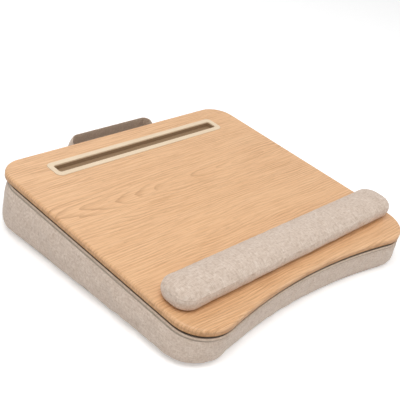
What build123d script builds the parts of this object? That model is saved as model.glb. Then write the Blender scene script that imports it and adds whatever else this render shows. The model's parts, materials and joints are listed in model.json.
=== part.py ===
from build123d import *
import math
import os

# Lap tray with a wedge cushion, a tablet slot and a wrist rest that lifts off. Millimetres, +Z up.
# The origin is on the floor, under the middle of the board. +Y points to the back.

# Wooden top board
board_width = 454
board_depth = 424
board_thickness = 10
board_back_radius = 38
board_front_radius = 48
belly_radius = 810
board_top_rounding = 4
board_under_rounding = 1.5

# Wedge cushion, measured from the floor to the board's underside at the board's front and back edges
front_height = 42.5
back_height = 78
seam_inset = 2.5
side_bulge = 3.5
front_bulge = -1.5
back_bulge = 4
base_roll = 9
front_corner_softening = 1
back_corner_softening = 14
shift_left = 5
shift_front = 3
slump_left = 1
slump_back = 3
cloth_thickness = 1.2
cloth_gap = 0.3
panel_thickness = 1
level_shares = (0, 0.22, 0.55, 0.84, 1)
seam_shares = (1, 0.1, 0, 0, 0)
bulge_shares = (0, 0.6, 1, 0.8, 0)
roll_shares = (0, 0, 0, 0.15, 1)

# Welt cord sewn round the cushion's top edge
piping_diameter = 3
piping_sides = 8
piping_gap = 0.2

# Hook and loop strips between the board and the cushion
fastener_thickness = 1.5
fastener_width = 25
fastener_length = 340
fastener_gap = 0.2
fastener_rows = 3
fastener_spacing = 130

# Tablet slot in the board and its moulded trim
slot_length = 320
slot_width = 18.5
slot_depth = 8
slot_radius = 3.5
slot_to_back = 49
slot_offset = 5
trim_rim = 8.7
trim_radius = 9
trim_thickness = 2.3
trim_seat_depth = 1.5
trim_seat_gap = 0.3
trim_rounding = 0.7

# Wrist rest, lying on the board in front of the keyboard's place
rest_length = 445
rest_width = 58
rest_height = 25
rest_radius = 24
rest_to_back = 356.5
rest_offset = 3.5
rest_level_shares = (0, 0.2, 0.45, 0.72, 0.86, 0.95, 1)
rest_inset_shares = (0.18, 0.04, 0, 0.1, 0.32, 0.6, 1)
rest_edge_inset = 22
rest_flat_thickness = 1
rest_strip_thickness = 1
rest_strip_width = 16
rest_strip_length = 120
rest_strip_spacing = 230
rest_strip_gap = 0.2

# Carry handle: a padded strap that bows out behind the cushion, hinged at its two sewn ends
handle_span = 164
handle_offset = 3.5
handle_bow = 30
handle_width = 28
handle_thickness = 5
handle_corner_radius = 15
handle_root_radius = 4
handle_neck = 14
handle_drop = 15
handle_root_gap = 0.3
handle_rest_angle = 24
patch_width = 22
patch_height = 20
patch_thickness = 1

# Zip across the back of the cover, with its slider and pull tab
zip_to_corner = 55
zip_offset = -6
zip_tape_width = 20
zip_tape_thickness = 0.6
zip_teeth_width = 5
zip_teeth_thickness = 1.2
zip_height = 30
slider_length = 11
slider_width = 8.5
slider_thickness = 2.4
slider_rounding = 0.8
slider_gap = 0.3
slider_to_zip_end = 14
bridge_width = 2.4
bridge_height = 2.6
bridge_length = 7
bridge_wall = 0.9
pull_length = 24
pull_width = 6.5
pull_thickness = 1.1
pull_bar_radius = 0.6
pull_eye_width = 3.2
pull_eye_length = 4.4
pull_end_rounding = 2

overrun = 20

tilt = math.degrees(math.asin((back_height - front_height) / board_depth))
board_middle_height = (front_height + back_height) / 2
board_top_height = board_middle_height + board_thickness * math.cos(math.radians(tilt))
board_top = Plane(origin=(0, 0, board_top_height), x_dir=(1, 0, 0)).rotated((tilt, 0, 0))
board_normal = Axis(origin=board_top.origin, direction=board_top.z_dir)
board_front = -board_depth / 2
board_back = board_depth / 2

os.makedirs("parts", exist_ok=True)


def tray_outline(half_width, front, back, front_radius, back_radius, belly):
    """Closed outline of the tray: square back, rounded corners and a hollow front that fits the body."""
    corner_x = half_width - front_radius
    corner_y = front + front_radius
    reach = belly + front_radius
    belly_y = corner_y - math.sqrt(reach**2 - corner_x**2)
    swing = math.degrees(math.asin(corner_x / reach))
    with BuildSketch() as shape:
        with BuildLine():
            CenterArc((0, belly_y), belly, 90 - swing, swing)
            CenterArc((corner_x, corner_y), front_radius, -90 - swing, 90 + swing)
            Line((half_width, corner_y), (half_width, back - back_radius))
            CenterArc((half_width - back_radius, back - back_radius), back_radius, 0, 90)
            Line((half_width - back_radius, back), (0, back))
            mirror(about=Plane.YZ)
        make_face()
    return shape.sketch


def cushion_outline(side, front, back):
    """Outline of the cushion, with softer corners than the board, let out at its sides and ends."""
    return tray_outline(
        board_width / 2 + side,
        board_front - front,
        board_back + back,
        board_front_radius + front_corner_softening + front,
        board_back_radius + back_corner_softening + back,
        belly_radius - front,
    )


def cushion_level(index, skin):
    """Plane and outline of one level of the wedge, from its top seam, level 0, down to the floor."""
    level = level_shares[index]
    seam = seam_inset * seam_shares[index]
    roll = base_roll * roll_shares[index]
    side = side_bulge * bulge_shares[index] - seam - roll + skin
    front = front_bulge * bulge_shares[index] - seam - roll + skin
    back = back_bulge * bulge_shares[index] - seam - roll + skin
    slope = math.degrees(math.atan(math.tan(math.radians(tilt)) * (1 - level)))
    height = panel_plane.origin.Z * (1 - level) + panel_thickness * level
    origin = (panel_plane.origin.X - slump_left * level, panel_plane.origin.Y + slump_back * level, height)
    plane = Plane(origin=origin, x_dir=(1, 0, 0)).rotated((slope, 0, 0))
    return plane, cushion_outline(side, front, back)


def cushion_form(skin):
    """Solid wedge between the cover's top and base panels, swollen at the sides, larger by a skin."""
    with BuildPart() as form:
        for index in range(len(level_shares)):
            plane, shape = cushion_level(index, skin)
            with BuildSketch(plane):
                add(shape)
        loft()
    return form.part


# The stack under the board: board, piping or strips, top panel, side panel
panel_top_drop = board_thickness + piping_gap + piping_diameter
side_top_drop = panel_top_drop + panel_thickness
panel_origin = board_top.from_local_coords((-shift_left, -shift_front, -side_top_drop))
panel_plane = Plane(origin=panel_origin, x_dir=(1, 0, 0), z_dir=board_top.z_dir)

# Top board, with the blind slot and the shallow seat for its trim milled in
slot_y = board_back - slot_to_back
board_outline = tray_outline(
    board_width / 2, board_front, board_back, board_front_radius, board_back_radius, belly_radius
)
with BuildPart() as top_board:
    with BuildSketch(board_top.offset(-board_thickness)):
        add(board_outline)
    extrude(amount=board_thickness)
    top_edges = top_board.faces().sort_by(board_normal).last.edges()
    fillet(top_edges, radius=board_top_rounding)
    under_edges = top_board.faces().sort_by(board_normal).first.edges()
    fillet(under_edges, radius=board_under_rounding)
    with BuildSketch(board_top):
        with Locations((slot_offset, slot_y)):
            RectangleRounded(
                slot_length + 2 * trim_rim + 2 * trim_seat_gap,
                slot_width + 2 * trim_rim + 2 * trim_seat_gap,
                trim_radius + trim_seat_gap,
            )
    extrude(amount=-trim_seat_depth, mode=Mode.SUBTRACT)
    with BuildSketch(board_top):
        with Locations((slot_offset, slot_y)):
            RectangleRounded(slot_length, slot_width, slot_radius)
    extrude(amount=-slot_depth, mode=Mode.SUBTRACT)
top_board.part.label = "top_board"
export_step(top_board.part, "parts/top_board.step")

# Moulded trim frame round the slot, standing a little proud of the wood
with BuildPart() as slot_trim:
    with BuildSketch(board_top.offset(-trim_seat_depth)):
        with Locations((slot_offset, slot_y)):
            RectangleRounded(slot_length + 2 * trim_rim, slot_width + 2 * trim_rim, trim_radius)
            RectangleRounded(slot_length, slot_width, slot_radius, mode=Mode.SUBTRACT)
    extrude(amount=trim_thickness)
    fillet(slot_trim.faces().sort_by(board_normal).last.edges(), radius=trim_rounding)
slot_trim.part.label = "slot_trim"
export_step(slot_trim.part, "parts/slot_trim.step")

# Hook strips glued under the board, and the loop strips sewn to the cushion below them
with BuildPart() as board_hook_strips:
    with BuildSketch(board_top.offset(-board_thickness - fastener_thickness)):
        with GridLocations(0, fastener_spacing, 1, fastener_rows):
            Rectangle(fastener_length, fastener_width)
    extrude(amount=fastener_thickness)
board_hook_strips.part.label = "board_hook_strips"
export_step(board_hook_strips.part, "parts/board_hook_strips.step")

with BuildPart() as cushion_loop_strips:
    with BuildSketch(panel_plane.offset(panel_thickness)):
        with GridLocations(0, fastener_spacing, 1, fastener_rows):
            Rectangle(fastener_length, fastener_width)
    extrude(amount=piping_gap + piping_diameter - fastener_thickness - fastener_gap)
cushion_loop_strips.part.label = "cushion_loop_strips"
export_step(cushion_loop_strips.part, "parts/cushion_loop_strips.step")

# Cover: top panel, side panel that swells between its seams, and base panel on the floor
top_plane, top_shape = cushion_level(0, 0)
with BuildPart() as cover_top_panel:
    with BuildSketch(top_plane):
        add(top_shape)
    extrude(amount=panel_thickness)
cover_top_panel.part.label = "cover_top_panel"
export_step(cover_top_panel.part, "parts/cover_top_panel.step")

with BuildPart() as cover_side_panel:
    add(cushion_form(0))
    add(cushion_form(-cloth_thickness), mode=Mode.SUBTRACT)
cover_side_panel.part.label = "cover_side_panel"
export_step(cover_side_panel.part, "parts/cover_side_panel.step")

base_plane, base_shape = cushion_level(len(level_shares) - 1, 0)
with BuildPart() as cover_base_panel:
    with BuildSketch(base_plane):
        add(base_shape)
    extrude(amount=-panel_thickness)
cover_base_panel.part.label = "cover_base_panel"
export_step(cover_base_panel.part, "parts/cover_base_panel.step")

# Foam wedge inside the cover
with BuildPart() as foam_core:
    add(cushion_form(-cloth_thickness - cloth_gap))
foam_core.part.label = "foam_core"
export_step(foam_core.part, "parts/foam_core.step")

# Welt cord on the seam between the top panel and the board
piping_inset = seam_inset + piping_diameter / 2
piping_plane = panel_plane.offset(panel_thickness + piping_diameter / 2)
piping_wire = piping_plane * cushion_outline(-piping_inset, -piping_inset, -piping_inset).wire()
piping_start = Plane(origin=piping_wire @ 0, z_dir=piping_wire % 0)
with BuildPart() as cushion_piping:
    with BuildSketch(piping_start):
        RegularPolygon(piping_diameter / 2, piping_sides)
    sweep(path=piping_wire)
cushion_piping.part.label = "cushion_piping"
export_step(cushion_piping.part, "parts/cushion_piping.step")

# Wrist rest: pillow-shaped cover, foam, flat base panel and its own hook and loop strips
rest_y = board_back - rest_to_back
rest_base_drop = 2 * rest_strip_thickness + rest_strip_gap


def rest_form(skin):
    """Pillow of the wrist rest above its base panel, larger by a skin."""
    with BuildPart() as form:
        for level, inset_share in zip(rest_level_shares, rest_inset_shares):
            inset = rest_edge_inset * inset_share - skin
            height = rest_base_drop + rest_flat_thickness + (rest_height - rest_flat_thickness) * level
            if level == rest_level_shares[-1]:
                height = height + skin
            with BuildSketch(board_top.offset(height)):
                with Locations((rest_offset, rest_y)):
                    RectangleRounded(
                        rest_length - 2 * inset,
                        rest_width - 2 * inset,
                        rest_radius - inset,
                    )
        loft()
    return form.part


with BuildPart() as rest_cover:
    add(rest_form(0))
    add(rest_form(-cloth_thickness), mode=Mode.SUBTRACT)
rest_cover.part.label = "rest_cover"
export_step(rest_cover.part, "parts/rest_cover.step")

with BuildPart() as rest_foam:
    add(rest_form(-cloth_thickness - cloth_gap))
rest_foam.part.label = "rest_foam"
export_step(rest_foam.part, "parts/rest_foam.step")

rest_base_inset = rest_edge_inset * rest_inset_shares[0]
with BuildPart() as rest_base_panel:
    with BuildSketch(board_top.offset(rest_base_drop)):
        with Locations((rest_offset, rest_y)):
            RectangleRounded(
                rest_length - 2 * rest_base_inset,
                rest_width - 2 * rest_base_inset,
                rest_radius - rest_base_inset,
            )
    extrude(amount=rest_flat_thickness)
rest_base_panel.part.label = "rest_base_panel"
export_step(rest_base_panel.part, "parts/rest_base_panel.step")

with BuildPart() as rest_hook_strips:
    with BuildSketch(board_top):
        with Locations((rest_offset, rest_y)):
            with GridLocations(rest_strip_spacing, 0, 2, 1):
                Rectangle(rest_strip_length, rest_strip_width)
    extrude(amount=rest_strip_thickness)
rest_hook_strips.part.label = "rest_hook_strips"
export_step(rest_hook_strips.part, "parts/rest_hook_strips.step")

with BuildPart() as rest_loop_strips:
    with BuildSketch(board_top.offset(rest_strip_thickness + rest_strip_gap)):
        with Locations((rest_offset, rest_y)):
            with GridLocations(rest_strip_spacing, 0, 2, 1):
                Rectangle(rest_strip_length, rest_strip_width)
    extrude(amount=rest_strip_thickness)
rest_loop_strips.part.label = "rest_loop_strips"
export_step(rest_loop_strips.part, "parts/rest_loop_strips.step")

# Back wall of the cushion, which carries the handle and the zip
cushion_solid = cushion_form(0)


def back_wall(height):
    """Y of the cushion's back wall at one height above the floor."""
    return section(cushion_solid, section_by=Plane.XY.offset(height)).bounding_box().max.Y


def wall_skin(inner, outer, length, width, middle, height):
    """Patch that follows the cushion's back wall, between two skins, cut to a rectangle."""
    skin = cushion_form(outer) - cushion_form(inner)
    with BuildPart() as patch:
        with BuildSketch(Plane.XZ.offset(-board_back + overrun)):
            with Locations(*[(x, height) for x in middle]):
                Rectangle(length, width)
        extrude(amount=-2 * overrun)
        add(skin, mode=Mode.INTERSECT)
    return patch.part


# Sewn patches that hold the handle's two ends under the board's back edge
under_back = board_top.from_local_coords((0, board_back, -board_thickness))
hinge_z = under_back.Z - handle_drop
hinge_y = back_wall(hinge_z) + patch_thickness + handle_root_radius + handle_root_gap
handle_ends = (handle_offset - handle_span / 2, handle_offset + handle_span / 2)
with BuildPart() as handle_patches:
    add(wall_skin(0, patch_thickness, patch_width, patch_height, handle_ends, hinge_z))
handle_patches.part.label = "handle_patches"
export_step(handle_patches.part, "parts/handle_patches.step")

# Handle strap: a wide U that stands on edge, gathered to a narrow neck at each end
hinge_origin = (handle_offset, hinge_y, hinge_z)
handle_plane = Plane(origin=hinge_origin, x_dir=(1, 0, 0)).rotated((handle_rest_angle, 0, 0))
handle_side = Plane(origin=handle_plane.origin, x_dir=handle_plane.y_dir, z_dir=(1, 0, 0))
with BuildPart() as handle_strap:
    with BuildSketch(handle_plane.offset(-handle_width / 2)):
        with BuildLine():
            FilletPolyline(
                (-handle_span / 2, -handle_root_radius),
                (-handle_span / 2, handle_bow - handle_thickness / 2),
                (handle_span / 2, handle_bow - handle_thickness / 2),
                (handle_span / 2, -handle_root_radius),
                radius=handle_corner_radius,
            )
            offset(amount=handle_thickness / 2, side=Side.BOTH)
        make_face()
    extrude(amount=handle_width)
    with BuildSketch(handle_side.offset(-handle_span / 2 - overrun)):
        Circle(handle_root_radius)
        with BuildLine():
            Polyline(
                (0, -handle_root_radius),
                (handle_neck, -handle_width / 2),
                (handle_bow + overrun, -handle_width / 2),
                (handle_bow + overrun, handle_width / 2),
                (handle_neck, handle_width / 2),
                (0, handle_root_radius),
                close=True,
            )
        make_face()
    extrude(amount=handle_span + 2 * overrun, mode=Mode.INTERSECT)
handle_strap.part.label = "handle_strap"
export_step(handle_strap.part, "parts/handle_strap.step")

# Zip: two tapes' width of cloth with the closed teeth along its middle
zip_length = board_width - 2 * zip_to_corner
zip_middle = (zip_offset,)
with BuildPart() as zip_tape:
    add(wall_skin(0, zip_tape_thickness, zip_length, zip_tape_width, zip_middle, zip_height))
zip_tape.part.label = "zip_tape"
export_step(zip_tape.part, "parts/zip_tape.step")

zip_face = zip_tape_thickness + zip_teeth_thickness
with BuildPart() as zip_teeth:
    add(wall_skin(zip_tape_thickness, zip_face, zip_length, zip_teeth_width, zip_middle, zip_height))
zip_teeth.part.label = "zip_teeth"
export_step(zip_teeth.part, "parts/zip_teeth.step")

# Slider: a rounded plate over the teeth with a bridge that holds the pull tab's bar
slider_start = zip_offset + zip_length / 2 - slider_to_zip_end
slider_y = back_wall(zip_height) + zip_face + slider_gap
slider_top = slider_y + slider_thickness
slider_plane = Plane(origin=(slider_start, slider_y, zip_height), x_dir=(-1, 0, 0), z_dir=(0, 1, 0))
bridge_gap = bridge_height - bridge_wall
with BuildPart() as zip_slider:
    with BuildSketch(slider_plane):
        RectangleRounded(slider_length, slider_width, slider_width / 3)
    extrude(amount=slider_thickness)
    fillet(zip_slider.faces().sort_by(Axis.Y).last.edges(), radius=slider_rounding)
    with BuildSketch(Plane.XY.offset(zip_height - bridge_width / 2)):
        with Locations((slider_start, slider_top + bridge_height / 2)):
            Rectangle(bridge_length, bridge_height)
        with Locations((slider_start, slider_top + bridge_gap / 2)):
            Rectangle(bridge_length - 2 * bridge_wall, bridge_gap, mode=Mode.SUBTRACT)
    extrude(amount=bridge_width)
zip_slider.part.label = "zip_slider"
export_step(zip_slider.part, "parts/zip_slider.step")

# Pull tab, lying flat along the zip, turning on the bar that runs under the bridge
pull_y = slider_top + bridge_gap / 2
pull_origin = (slider_start, pull_y - pull_thickness / 2, zip_height)
pull_plane = Plane(origin=pull_origin, x_dir=(-1, 0, 0), z_dir=(0, 1, 0))
with BuildPart() as zip_pull:
    with BuildSketch(pull_plane):
        with Locations((pull_length / 2, 0)):
            Rectangle(pull_length, pull_width)
        with Locations((pull_eye_length / 2, 0)):
            Rectangle(pull_eye_length, pull_eye_width, mode=Mode.SUBTRACT)
    extrude(amount=pull_thickness)
    fillet(zip_pull.edges().filter_by(Axis.Y).group_by(Axis.X)[0], radius=pull_end_rounding)
    with BuildSketch(Plane.XY.offset(zip_height - pull_width / 2)):
        with Locations((slider_start, pull_y)):
            Circle(pull_bar_radius)
    extrude(amount=pull_width)
zip_pull.part.label = "zip_pull"
export_step(zip_pull.part, "parts/zip_pull.step")
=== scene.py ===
"""Looks for a lap tray: an oak board with a trimmed slot and a wrist rest, on a linen wedge cushion."""

import json
import logging
import math
from collections.abc import Callable, Sequence
from dataclasses import dataclass, field
from enum import Enum

import bmesh
import bpy
from mathutils import Matrix, Vector, noise
from mathutils.bvhtree import BVHTree

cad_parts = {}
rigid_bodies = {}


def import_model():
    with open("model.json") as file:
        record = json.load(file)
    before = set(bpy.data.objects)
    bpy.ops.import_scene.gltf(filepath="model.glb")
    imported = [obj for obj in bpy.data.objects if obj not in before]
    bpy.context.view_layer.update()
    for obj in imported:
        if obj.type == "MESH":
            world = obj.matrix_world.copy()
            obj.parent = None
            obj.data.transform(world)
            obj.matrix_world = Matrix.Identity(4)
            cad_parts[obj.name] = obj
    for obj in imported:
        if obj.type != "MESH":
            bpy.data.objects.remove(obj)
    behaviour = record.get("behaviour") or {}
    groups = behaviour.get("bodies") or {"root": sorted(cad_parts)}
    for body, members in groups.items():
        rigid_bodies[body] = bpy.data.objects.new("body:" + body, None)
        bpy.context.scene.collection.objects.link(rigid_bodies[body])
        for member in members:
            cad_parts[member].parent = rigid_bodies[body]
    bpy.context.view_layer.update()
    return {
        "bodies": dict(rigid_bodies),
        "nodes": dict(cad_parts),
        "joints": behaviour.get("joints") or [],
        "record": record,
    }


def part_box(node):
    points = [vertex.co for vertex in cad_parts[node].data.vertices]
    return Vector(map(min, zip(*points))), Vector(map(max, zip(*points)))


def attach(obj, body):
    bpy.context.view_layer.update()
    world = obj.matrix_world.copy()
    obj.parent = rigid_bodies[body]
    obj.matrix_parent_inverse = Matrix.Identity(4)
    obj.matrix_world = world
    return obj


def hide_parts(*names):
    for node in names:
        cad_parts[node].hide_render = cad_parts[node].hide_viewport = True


LOG = logging.getLogger("lap_tray")
MM = 0.001
Colour = tuple[float, ...]


def linear(red: int, green: int, blue: int) -> Colour:
    """Linear colour of an 8-bit sRGB colour.

    Args:
        red: Red, 0 to 255.
        green: Green, 0 to 255.
        blue: Blue, 0 to 255.

    Returns:
        The colour as a node takes it.
    """
    parts = [c / 255 for c in (red, green, blue)]
    return (*(c / 12.92 if c <= 0.04045 else ((c + 0.055) / 1.055) ** 2.4 for c in parts), 1.0)


class Value:
    """A number in a shader that Python's operators work on."""

    def __init__(self, shader: "Shader", socket: bpy.types.NodeSocket) -> None:
        """Wraps one socket of a shader."""
        self.shader = shader
        self.socket = socket

    def __add__(self, other: "Value | float") -> "Value":
        """Sum."""
        return self.shader.maths("ADD", self, other)

    def __radd__(self, other: "Value | float") -> "Value":
        """Sum, reflected."""
        return self.shader.maths("ADD", other, self)

    def __sub__(self, other: "Value | float") -> "Value":
        """Difference."""
        return self.shader.maths("SUBTRACT", self, other)

    def __rsub__(self, other: "Value | float") -> "Value":
        """Difference, reflected."""
        return self.shader.maths("SUBTRACT", other, self)

    def __mul__(self, other: "Value | float") -> "Value":
        """Product."""
        return self.shader.maths("MULTIPLY", self, other)

    def __rmul__(self, other: "Value | float") -> "Value":
        """Product, reflected."""
        return self.shader.maths("MULTIPLY", other, self)

    def __truediv__(self, other: "Value | float") -> "Value":
        """Quotient."""
        return self.shader.maths("DIVIDE", self, other)

    def __pow__(self, other: "Value | float") -> "Value":
        """Power."""
        return self.shader.maths("POWER", self, other)

    def __lt__(self, other: "Value | float") -> "Value":
        """1 where this is less."""
        return self.shader.maths("LESS_THAN", self, other)


class Shader:
    """Node tree of one material, round a Principled shader."""

    def __init__(self, name: str) -> None:
        """Makes the material, with nothing but its output and its Principled shader.

        Args:
            name: Name of the material.
        """
        self.material = bpy.data.materials.new(name)
        self.material.use_nodes = True
        self.tree = self.material.node_tree
        self.tree.nodes.clear()
        self.skin = self.add("ShaderNodeBsdfPrincipled")
        self.add("ShaderNodeOutputMaterial", inputs={"Surface": self.skin.outputs[0]})

    def feed(self, node: bpy.types.Node, key: str | int, value: object) -> None:
        """Sets a socket of a node, or links it.

        Args:
            node: The node.
            key: The socket's name or number.
            value: A plain value, a socket or a number of the tree.
        """
        source = value.socket if isinstance(value, Value) else value
        if isinstance(source, bpy.types.NodeSocket):
            self.tree.links.new(source, node.inputs[key])
        else:
            node.inputs[key].default_value = source

    def add(
        self,
        kind: str,
        settings: dict[str, object] | None = None,
        inputs: dict[str | int, object] | None = None,
    ) -> bpy.types.Node:
        """Adds one node.

        Args:
            kind: The node's type.
            settings: Attributes, set first; "stops" are a ramp's (place, colour) pairs.
            inputs: Values or links of its sockets, by name or number.

        Returns:
            The node.
        """
        node = self.tree.nodes.new(kind)
        for key, setting in (settings or {}).items():
            if key == "stops":
                ramp = node.color_ramp
                while len(ramp.elements) < len(setting):
                    ramp.elements.new(0.5)
                for element, (place, colour) in zip(ramp.elements, setting):
                    element.position = place
                    element.color = colour
            else:
                setattr(node, key, setting)
        for key, value in (inputs or {}).items():
            self.feed(node, key, value)
        return node

    def maths(self, operation: str, first: Value | float, second: Value | float = 0.0) -> Value:
        """One Math node on one or two numbers."""
        node = self.add("ShaderNodeMath", {"operation": operation}, {0: first, 1: second})
        return Value(self, node.outputs[0])

    def split(self, vector: bpy.types.NodeSocket) -> tuple[Value, Value, Value]:
        """The three numbers of a vector."""
        node = self.add("ShaderNodeSeparateXYZ", inputs={0: vector})
        return Value(self, node.outputs[0]), Value(self, node.outputs[1]), Value(self, node.outputs[2])

    def join(self, x: Value | float, y: Value | float, z: Value | float = 0.0) -> bpy.types.NodeSocket:
        """A vector of three numbers."""
        return self.add("ShaderNodeCombineXYZ", inputs={0: x, 1: y, 2: z}).outputs[0]

    def grain(self, vector: bpy.types.NodeSocket, scale: float, detail: float = 2.0) -> Value:
        """Noise from 0 to 1."""
        inputs = {"Vector": vector, "Scale": scale, "Detail": detail}
        return Value(self, self.add("ShaderNodeTexNoise", inputs=inputs).outputs[0])

    def spread(self, value: Value, low: float, high: float) -> Value:
        """Stretches the range from low to high to 0 to 1, and clamps it."""
        inputs = {"Value": value, "From Min": low, "From Max": high}
        return Value(self, self.add("ShaderNodeMapRange", {"clamp": True}, inputs).outputs[0])

    def mix(self, share: Value | float, first: object, second: object) -> bpy.types.NodeSocket:
        """A mix of two colours."""
        node = self.add("ShaderNodeMix", {"data_type": "RGBA"}, {0: share, 6: first, 7: second})
        return node.outputs[2]

    def bump(self, height: Value, depth: float, strength: float = 1.0) -> bpy.types.NodeSocket:
        """A normal from a height.

        Args:
            height: Height, 0 to 1.
            depth: What a height of 1 stands for, in metres.
            strength: Share of the effect.

        Returns:
            The normal's socket.
        """
        inputs = {"Height": height, "Distance": depth, "Strength": strength}
        return self.add("ShaderNodeBump", inputs=inputs).outputs[0]

    def coordinates(self, name: str) -> bpy.types.NodeSocket:
        """Object coordinates, or the piece's own UV map."""
        return self.add("ShaderNodeTexCoord").outputs[name]

    def wear(self, colour: object, roughness: object, normal: bpy.types.NodeSocket | None = None) -> None:
        """Sets the skin's colour, roughness and normal.

        Args:
            colour: Base colour, a value or a link.
            roughness: Roughness, a value or a link.
            normal: Normal, where the surface has a relief.
        """
        self.feed(self.skin, "Base Color", colour)
        self.feed(self.skin, "Roughness", roughness)
        if normal is not None:
            self.feed(self.skin, "Normal", normal)


@dataclass(frozen=True)
class BoardPlane:
    """Top face of the board: u to the right, v to the back along the wood, w up from it, in metres."""

    front_height: float = 42.5 * MM
    back_height: float = 78 * MM
    depth: float = 424 * MM
    thickness: float = 10 * MM

    @property
    def tilt(self) -> float:
        """Slope of the board, in radians."""
        return math.asin((self.back_height - self.front_height) / self.depth)

    @property
    def middle(self) -> float:
        """Height of the top face over the origin."""
        return (self.front_height + self.back_height) / 2 + self.thickness * math.cos(self.tilt)

    def at(self, u: float, v: float, w: float) -> Vector:
        """Point in the row frame."""
        sine, cosine = math.sin(self.tilt), math.cos(self.tilt)
        return Vector((u, v * cosine - w * sine, self.middle + v * sine + w * cosine))

    def height(self, y: float, below: float) -> float:
        """Height of the plane that lies a distance below the top face, at one y."""
        return self.middle + y * math.tan(self.tilt) - below / math.cos(self.tilt)


@dataclass(frozen=True)
class Oak:
    """Satin oak veneer with its figure along the board, and raw fibreboard in the slot and underneath."""

    plane: BoardPlane
    light: Colour = linear(239, 194, 148)
    middle: Colour = linear(222, 169, 118)
    dark: Colour = linear(172, 116, 68)
    pore: Colour = linear(146, 98, 58)
    band: Colour = linear(186, 138, 92)
    fibre: Colour = linear(150, 122, 92)
    heart_u: float = 150 * MM
    heart_v: float = 56 * MM
    stretch: float = 0.09
    ring: float = 4.4 * MM
    slot_half_length: float = 161.5 * MM
    slot_half_width: float = 10.4 * MM
    slot_u: float = 5 * MM
    slot_v: float = 163 * MM
    seat_depth: float = 1.8 * MM
    coat: float = 0.12
    coat_roughness: float = 0.3

    def make(self) -> bpy.types.Material:
        """Makes the material, in the board's own coordinates.

        Returns:
            The material.
        """
        shader = Shader("oak_board")
        place = shader.coordinates("Object")
        middle, tilt = (0.0, 0.0, self.plane.middle), (self.plane.tilt, 0.0, 0.0)
        turned = shader.add(
            "ShaderNodeMapping",
            {"vector_type": "TEXTURE"},
            {"Vector": place, "Location": middle, "Rotation": tilt},
        )
        u, v, w = shader.split(turned.outputs[0])
        sway = shader.grain(shader.join(u * 5, v * 16), 1.0, 3.0) - 0.5
        ripple = shader.grain(shader.join(u * 22, v * 60), 1.0, 2.0) - 0.5
        along = (u - self.heart_u) * self.stretch
        across = v - self.heart_v
        distance = shader.maths("SQRT", along * along + across * across) + sway * 0.026 + ripple * 0.0032
        turn = shader.maths("FRACT", distance / self.ring)
        strength = shader.spread(shader.grain(shader.join(u * 7, v * 45), 1.0), 0.3, 0.72)
        line = (turn**4.0) * (1 - shader.spread(turn, 0.95, 1.0)) * strength
        fibres = shader.grain(shader.join(u * 9, v * 620, w * 300), 1.0, 3.0)
        silk = shader.grain(shader.join(u * 20, v * 400, w * 240), 1.0, 2.0)
        gleam = shader.grain(shader.join(u * 14, v * 430, w * 260 + 3.0), 1.0, 2.0)
        pores = shader.spread(shader.grain(shader.join(u * 75, v * 1500, w * 900), 1.0, 1.0), 0.6, 0.72)
        pores = pores * (0.45 + line)
        tone = shader.grain(shader.join(u * 3, v * 11), 1.0, 2.0)
        colour = shader.mix(shader.spread(fibres, 0.3, 0.7), self.middle, self.light)
        colour = shader.mix(shader.spread(silk, 0.48, 0.66) * 0.32, colour, self.dark)
        colour = shader.mix(shader.spread(gleam, 0.52, 0.7) * 0.4, colour, self.light)
        colour = shader.mix(line * 1.1, colour, self.dark)
        colour = shader.mix(pores * 0.7, colour, self.pore)
        colour = shader.mix(shader.spread(tone, 0.3, 0.7) * 0.22, colour, self.light)
        edge = shader.spread(w, -3.0 * MM, -4.6 * MM) * (0.35 + 0.5 * shader.spread(silk, 0.35, 0.65))
        colour = shader.mix(edge, colour, self.band)
        inside_u = shader.maths("ABSOLUTE", u - self.slot_u) < self.slot_half_length
        inside_v = shader.maths("ABSOLUTE", v - self.slot_v) < self.slot_half_width
        raw = inside_u * inside_v * (w < -self.seat_depth)
        raw = shader.maths("MAXIMUM", raw, w < -(self.plane.thickness - 0.05 * MM))
        dust = shader.grain(place, 900.0, 3.0)
        board = shader.mix(shader.spread(dust, 0.3, 0.7) * 0.35, self.fibre, linear(182, 155, 122))
        colour = shader.mix(raw, colour, board)
        relief = 1 - pores * 0.8 - line * 0.3
        roughness = 0.4 + 0.12 * fibres + raw * 0.4
        shader.wear(colour, roughness, shader.bump(relief, 0.06 * MM, 0.6))
        shader.feed(shader.skin, "Coat Weight", self.coat)
        shader.feed(shader.skin, "Coat Roughness", self.coat_roughness)
        return shader.material


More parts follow.
